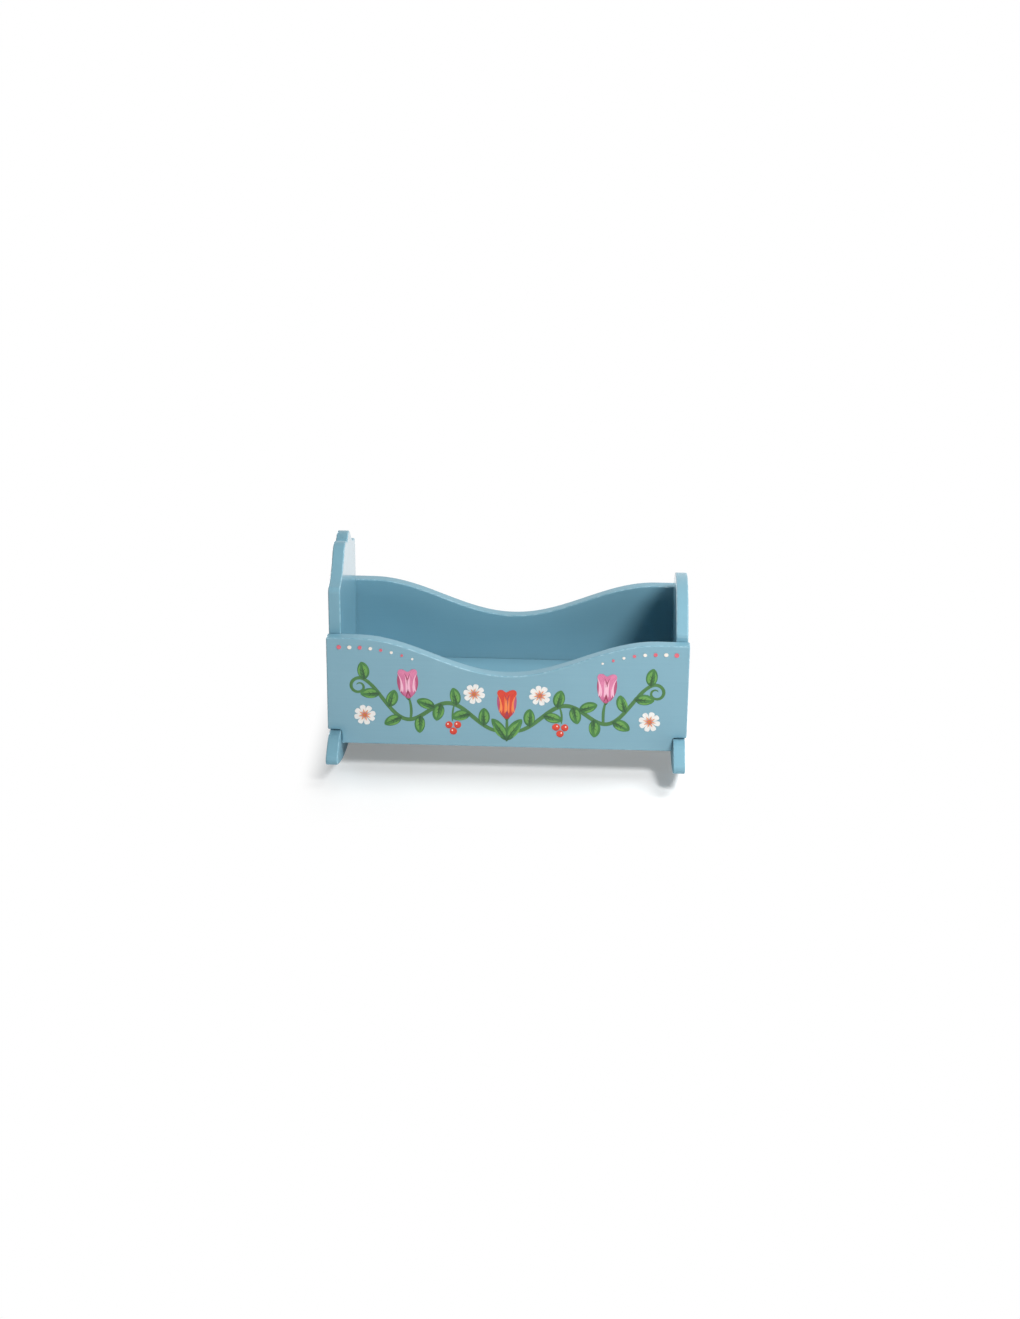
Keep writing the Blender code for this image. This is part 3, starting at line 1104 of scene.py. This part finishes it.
# %% Sizes and places in the garland
upright = 90
vine_width = 0.0056
vine_touch = (0.12, 0.45)
stem_touch = (0.2, 0.3)
leaf_length = 0.0235
leaf_angle = 55
vine_leaf_shares = (
    (0.11, 1), (0.21, -1), (0.31, 1), (0.42, -1), (0.47, 1),
    (0.57, -1), (0.71, -1), (0.80, 1), (0.87, -1), (0.98, 1),
)
tulip_height = 0.041
side_tulip = (0.123, 0.102)
side_tulip_angle = 88
side_stem = ((0.121, 0.072), (0.123, 0.104), 0.0038, 0.08)
daisy_radius = 0.0135
daisies = ((0.041, 0.110, 12), (0.178, 0.078, 31))
berry_radius = 0.0048
berries = (0.067, 0.067)
berry_stem = ((0.066, 0.094), (0.068, 0.072), 0.0026, 0.06)
edge_dots = 8
edge_dots_from = 0.118
edge_dot_step = 0.013
edge_dot_drop = 0.012
edge_dot_width = 0.0029
edge_dot_growth = 0.0004
middle_foot = 0.046
middle_stem = ((0, 0), (0.034, 0), 0.0042)
middle_leaf = (0.001, 0.048, 58)
middle_leaf_length = 0.034
middle_leaf_slender = 0.67
print("leaves on each half of the vine:", len(vine_leaf_shares))

# %% Lay the garland
for side in (1, -1):
    half = Spot(side, 0, 0)
    half.follow(pots["stem_green"], vine_with_curl(), vine_width, *vine_touch)
    for share, way in vine_leaf_shares:
        angle = vine_angle(share) + way * leaf_angle
        lay(Spot(side, *vine_point(share), angle), leaf_length, leaf_shares)
    half.stroke(pots["stem_green"], *side_stem, *stem_touch)
    lay(Spot(side, *side_tulip, side_tulip_angle), tulip_height, pink_tulip)
    half.stroke(pots["stem_green"], *berry_stem, *stem_touch)
    lay(Spot(side, *berries, upright), berry_radius, berry_shares)
    for place in daisies:
        daisy(Spot(side, *place), daisy_radius)
    for number in range(edge_dots):
        x = edge_dots_from + edge_dot_step * number
        width = edge_dot_width + edge_dot_growth * number
        pot = pots["dot_coral" if number % 2 else "dot_cream"]
        z = wave_height(x) - edge_dot_drop
        half.stroke(pot, (x - width / 2, z), (x + width / 2, z), width)
    lay(Spot(side, *middle_leaf), middle_leaf_length, leaf_shares, middle_leaf_slender)

middle = Spot(1, 0, middle_foot, upright)
middle.stroke(pots["stem_green"], *middle_stem, 0.0, *stem_touch)
middle_tulip_foot = middle_foot + middle_stem[1][0] - vine_width / 2
lay(Spot(1, 0, middle_tulip_foot, upright), tulip_height, red_tulip)
print("strokes laid:", sum(len(lines) for lines in pots.values()))

# %% [markdown]
# Craft paint dries satin. Each stroke is a little darker at its rim, and its streaks run along
# it. Leaves and broad petals keep a deeper or warmer colour at their root, where the brush
# landed. All strokes of one colour are one piece, a layer further out than those below it, and
# their sides go down to the board. Broad strokes are spread thinner, so that a fine stroke on
# them isn't buried.

# %% Mix a craft paint
craft_streak_scale = (1.4, 24.0, 0.0)
craft_streak_shade = 1.3
craft_streak_depth = 0.00006
craft_streak_roughness = 0.16
craft_roughness = 0.36
craft_drift = (43.0, 43.0, 43.0)
craft_patch_scale = 90.0
craft_patch_shade = 0.5
craft_shade_shift = -0.45
craft_rim_range = (0.55, 1.0)
craft_rim_shade = 0.55
craft_root_range = (0.05, 0.5)


def craft_paint(name, deep, pale, root=None):
    """A paint of two shades, with one more where the brush landed if a root is given."""
    recipe = Recipe(name)
    brush = recipe.along_brush()
    along, across = recipe.parts(brush)[:2]
    drift = recipe.stretched(recipe.place(), craft_drift)
    streaks = recipe.noise(recipe.stretched(brush, craft_streak_scale, drift), 1.0, detail=3.0)
    patches = recipe.noise(recipe.place(), craft_patch_scale)
    # The mark's top is two thirds of the way round it, so this runs from -1 to 1 over the top.
    over_top = across * 3.0 - 1.0
    rim = over_top.absolute().rise(*craft_rim_range)
    shade = streaks * craft_streak_shade + patches * craft_patch_shade + craft_shade_shift
    body = recipe.mix((shade - rim * craft_rim_shade).rise(0.0, 1.0), deep, pale)
    if root is not None:
        body = recipe.mix(along.rise(*craft_root_range), root, body)
    return recipe.finish(
        Base_Color=body,
        Roughness=craft_roughness + streaks * craft_streak_roughness,
        Normal=recipe.bump(streaks, craft_streak_depth),
    )


print("craft paint streaks are", craft_streak_depth, "m deep")

# %% Fill the pots
craft_colours = {
    "stem_green": ((56, 103, 52), (84, 136, 72)),
    "leaf_green": ((48, 102, 50), (84, 146, 70), (46, 94, 52)),
    "leaf_light": ((82, 144, 64), (122, 174, 86)),
    "leaf_dark": ((36, 76, 42), (52, 94, 48)),
    "petal_pink": ((206, 108, 148), (232, 142, 178), (184, 78, 124)),
    "petal_rose": ((168, 64, 104), (196, 92, 132)),
    "petal_blush": ((238, 170, 198), (250, 206, 220)),
    "petal_red": ((206, 52, 32), (230, 74, 48), (172, 38, 34)),
    "petal_orange": ((240, 120, 58), (248, 152, 84)),
    "petal_crease": ((138, 42, 72), (160, 58, 90)),
    "daisy_white": ((228, 224, 220), (250, 248, 244), (236, 196, 166)),
    "daisy_peach": ((216, 140, 96), (232, 168, 128)),
    "daisy_ochre": ((186, 106, 50), (214, 138, 66)),
    "dot_coral": ((214, 88, 104), (232, 120, 134)),
    "dot_cream": ((238, 226, 214), (252, 244, 234)),
}
craft_paints = {
    name: craft_paint(name, *(colour(*shade) for shade in shades))
    for name, shades in craft_colours.items()
}
print("craft paints:", len(craft_paints))

# %% Draw the strokes as curves
def flat_curve(name, lines, closed):
    """One curve in the XY plane with a spline for each line of (x, y, radius) points."""
    deselect()
    bpy.ops.curve.primitive_bezier_curve_add()
    piece = bpy.context.object
    piece.name = name
    piece.data.splines.clear()
    piece.data.dimensions = "2D"
    piece.data.fill_mode = "NONE"
    piece.data.use_fill_caps = True
    for line in lines:
        spline = piece.data.splines.new("POLY")
        spline.points.add(len(line) - 1)
        for point, (x, y, radius) in zip(spline.points, line):
            point.co = (x, y, 0, 1)
            point.radius = radius
        spline.use_cyclic_u = closed
    return piece


def brush_mark(relief):
    """What the brush leaves, seen along the stroke, with its height times relief."""
    near_side = [(x, y * relief, 1) for x, y in mark_top]
    far_side = [(-x, y, radius) for x, y, radius in reversed(near_side[:-1])]
    under_side = [(x, y, 1) for x, y in mark_under]
    return flat_curve("brush_mark", [near_side + far_side + under_side], True)


print("brush mark:", 2 * len(mark_top) - 1, "points on top,", len(mark_under), "under")

# %% Make the strokes solid
layer_step = 0.00016
seat_depth = 0.00005
least_drop = 0.000001
stroke_smooth_angle = math.radians(50)
layers = (
    (1.0, ("stem_green",)),
    (0.45, ("leaf_green", "petal_rose", "daisy_white")),
    (0.45, ("leaf_light", "petal_pink", "petal_red", "daisy_peach")),
    (1.0, ("leaf_dark", "petal_crease", "petal_blush", "petal_orange", "daisy_ochre")),
    (1.0, ("dot_coral", "dot_cream")),
)


def seat(piece, level):
    """Lowers what lies under a layer's level until it is just inside the board."""
    for point in piece.data.vertices:
        if point.co.y > level + least_drop:
            point.co.y = panel_low.y + seat_depth


for layer, (relief, names) in enumerate(layers):
    mark = brush_mark(relief)
    level = panel_low.y - layer * layer_step
    for name in names:
        piece = flat_curve("painted_" + name, pots[name], False)
        piece.data.bevel_mode = "OBJECT"
        piece.data.bevel_object = mark
        bpy.ops.object.convert(target="MESH")
        piece.rotation_euler.x = math.pi / 2
        piece.location = (0, level, 0)
        bpy.ops.object.transform_apply(location=True, rotation=True, scale=False)
        seat(piece, level)
        bpy.ops.object.shade_smooth_by_angle(angle=stroke_smooth_angle)
        piece.data.materials.append(craft_paints[name])
        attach(piece, "root")
        print(piece.name, len(pots[name]), "strokes,", len(piece.data.polygons), "faces")
    bpy.data.objects.remove(mark)

# %% [markdown]
# ## Floor and light
# The cradle stands on a pale studio floor that runs to white all round. The floor is lit like
# anything else under and near the cradle, which keeps the shadow, and past its footprint it
# turns into plain white for the camera and for reflections, so that varnish mirrors a white
# room. Four soft lamps light the cradle at a plain level: a small one at the front right casts
# the soft shadow, and broad ones above, in front and behind fill it in.

# %% Lay the floor
floor_radius = 12.0
floor_sides = 96
floor_colour = (0.80, 0.80, 0.80, 1.0)
floor_roughness = 0.9
floor_glow = 0.222
glow_tint = (1.0, 0.985, 0.965, 1.0)
plain_white = (1.0, 1.0, 1.0, 1.0)
shadow_reach_x = (0.205, 0.262)
shadow_reach_y = (0.150, 0.270)


def seen(recipe):
    """1 for what the camera, a reflection or glass shows, 0 for light that lands on a surface."""
    rays = recipe.node("ShaderNodeLightPath", {}, {}).socket.node.outputs
    camera_ray = Value(recipe, rays["Is Camera Ray"])
    glossy_ray = Value(recipe, rays["Is Glossy Ray"])
    glass_ray = Value(recipe, rays["Is Transmission Ray"])
    return (camera_ray + glossy_ray + glass_ray).rise(0.0, 1.0)


deselect()
bpy.ops.mesh.primitive_circle_add(vertices=floor_sides, radius=floor_radius, fill_type="NGON")
floor = bpy.context.object
floor.name = "floor"
recipe = Recipe("floor")
recipe.finish(Base_Color=floor_colour, Roughness=floor_roughness, Specular_IOR_Level=0.0)
shader = Value(recipe, recipe.shader.outputs[0])
glow = recipe.node("ShaderNodeEmission", {}, {"Color": glow_tint, "Strength": floor_glow})
white = recipe.node("ShaderNodeEmission", {}, {"Color": plain_white, "Strength": 1.0})
lit = recipe.node("ShaderNodeAddShader", {}, {0: shader, 1: glow})
x, y = recipe.parts(recipe.place())[:2]
near = (1 - x.absolute().rise(*shadow_reach_x)) * (1 - y.absolute().rise(*shadow_reach_y))
far = recipe.node("ShaderNodeMixShader", {}, {0: near, 1: white, 2: lit})
shown = recipe.node("ShaderNodeMixShader", {}, {0: seen(recipe), 1: shader, 2: far})
recipe.feed(recipe.tree.nodes["Material Output"].inputs["Surface"], shown)
floor.data.materials.append(recipe.material)
print("floor:", 2 * floor_radius, "m across")

# %% Fill the room with light
room_light = 0.025

world = bpy.data.worlds.new("studio")
world.use_nodes = True
bpy.context.scene.world = world
recipe = Recipe("studio", world.node_tree)
air = world.node_tree.nodes["Background"]
recipe.feed(air.inputs["Color"], plain_white)
recipe.feed(air.inputs["Strength"], room_light)
dim = Value(recipe, air.outputs[0])
white = recipe.node("ShaderNodeBackground", {}, {"Color": plain_white, "Strength": 1.0})
room = recipe.node("ShaderNodeMixShader", {}, {0: seen(recipe), 1: dim, 2: white})
recipe.feed(world.node_tree.nodes["World Output"].inputs["Surface"], room)
print("room light:", room_light)

# %% Hang the lamps
def softbox(name, place, size, power):
    """A lamp of some width and height that looks at the middle of the cradle."""
    bpy.ops.object.light_add(type="AREA", location=place)
    lamp = bpy.context.object
    lamp.name = name
    lamp.data.shape = "RECTANGLE"
    lamp.data.size, lamp.data.size_y = size
    lamp.data.energy = power
    target = Vector((0, 0, side_top / 2))
    lamp.rotation_euler = (Vector(place) - target).to_track_quat("Z", "Y").to_euler()


softbox("key_light", place=(0.83, -1.06, 1.40), size=(0.22, 0.50), power=23.5)
softbox("top_light", place=(1.4, 0.30, 1.9), size=(1.0, 1.0), power=31)
softbox("front_light", place=(0.15, -2.4, 0.24), size=(1.0, 0.45), power=11.5)
softbox("back_light", place=(-1.5, 1.9, 0.32), size=(1.4, 0.5), power=28)
